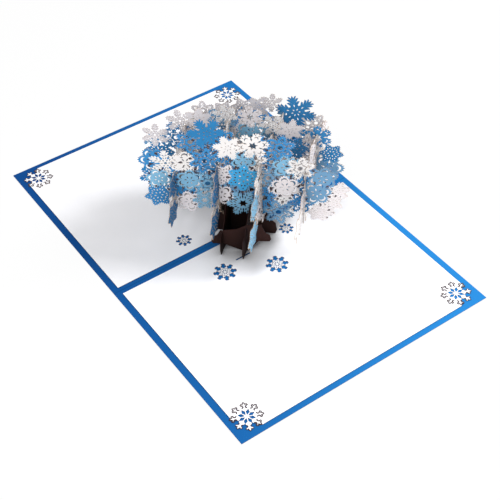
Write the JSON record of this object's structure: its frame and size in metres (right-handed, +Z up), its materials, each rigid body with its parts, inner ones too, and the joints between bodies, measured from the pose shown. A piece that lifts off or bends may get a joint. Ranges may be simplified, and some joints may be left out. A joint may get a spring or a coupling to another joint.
{
  "type": "pop up card",
  "caption": "Pop-up card lying open flat: blue folded cover, white liners with cut snowflakes, and a tree of slotted paper slices on a brown trunk over the fold",
  "frame": {"origin": "middle of the underside of the open card, on the fold line", "axes": "+X along the fold, +Y from the near panel to the far panel, +Z up"},
  "size_m": [0.2, 0.3, 0.108],
  "materials": {
    "blue_card": "matt blue card",
    "white_card": "smooth white card",
    "brown_card": "matt dark brown card",
    "printed_card": "card printed in blues, white and silver grey, with scorched cut edges"
  },
  "bodies": {
    "root": {"cover": "blue_card", "near_liner": "white_card", "far_liner": "white_card", "trunk_across_1": "brown_card", "trunk_across_2": "brown_card", "trunk_across_3": "brown_card", "trunk_along_1": "brown_card", "trunk_along_2": "brown_card", "crown_slice_across_1": "printed_card", "crown_slice_across_2": "printed_card", "crown_slice_across_3": "printed_card", "crown_slice_along_1": "printed_card", "crown_slice_along_2": "printed_card", "crown_slice_along_3": "printed_card", "crown_slice_along_4": "printed_card"}
  },
  "joints": []
}
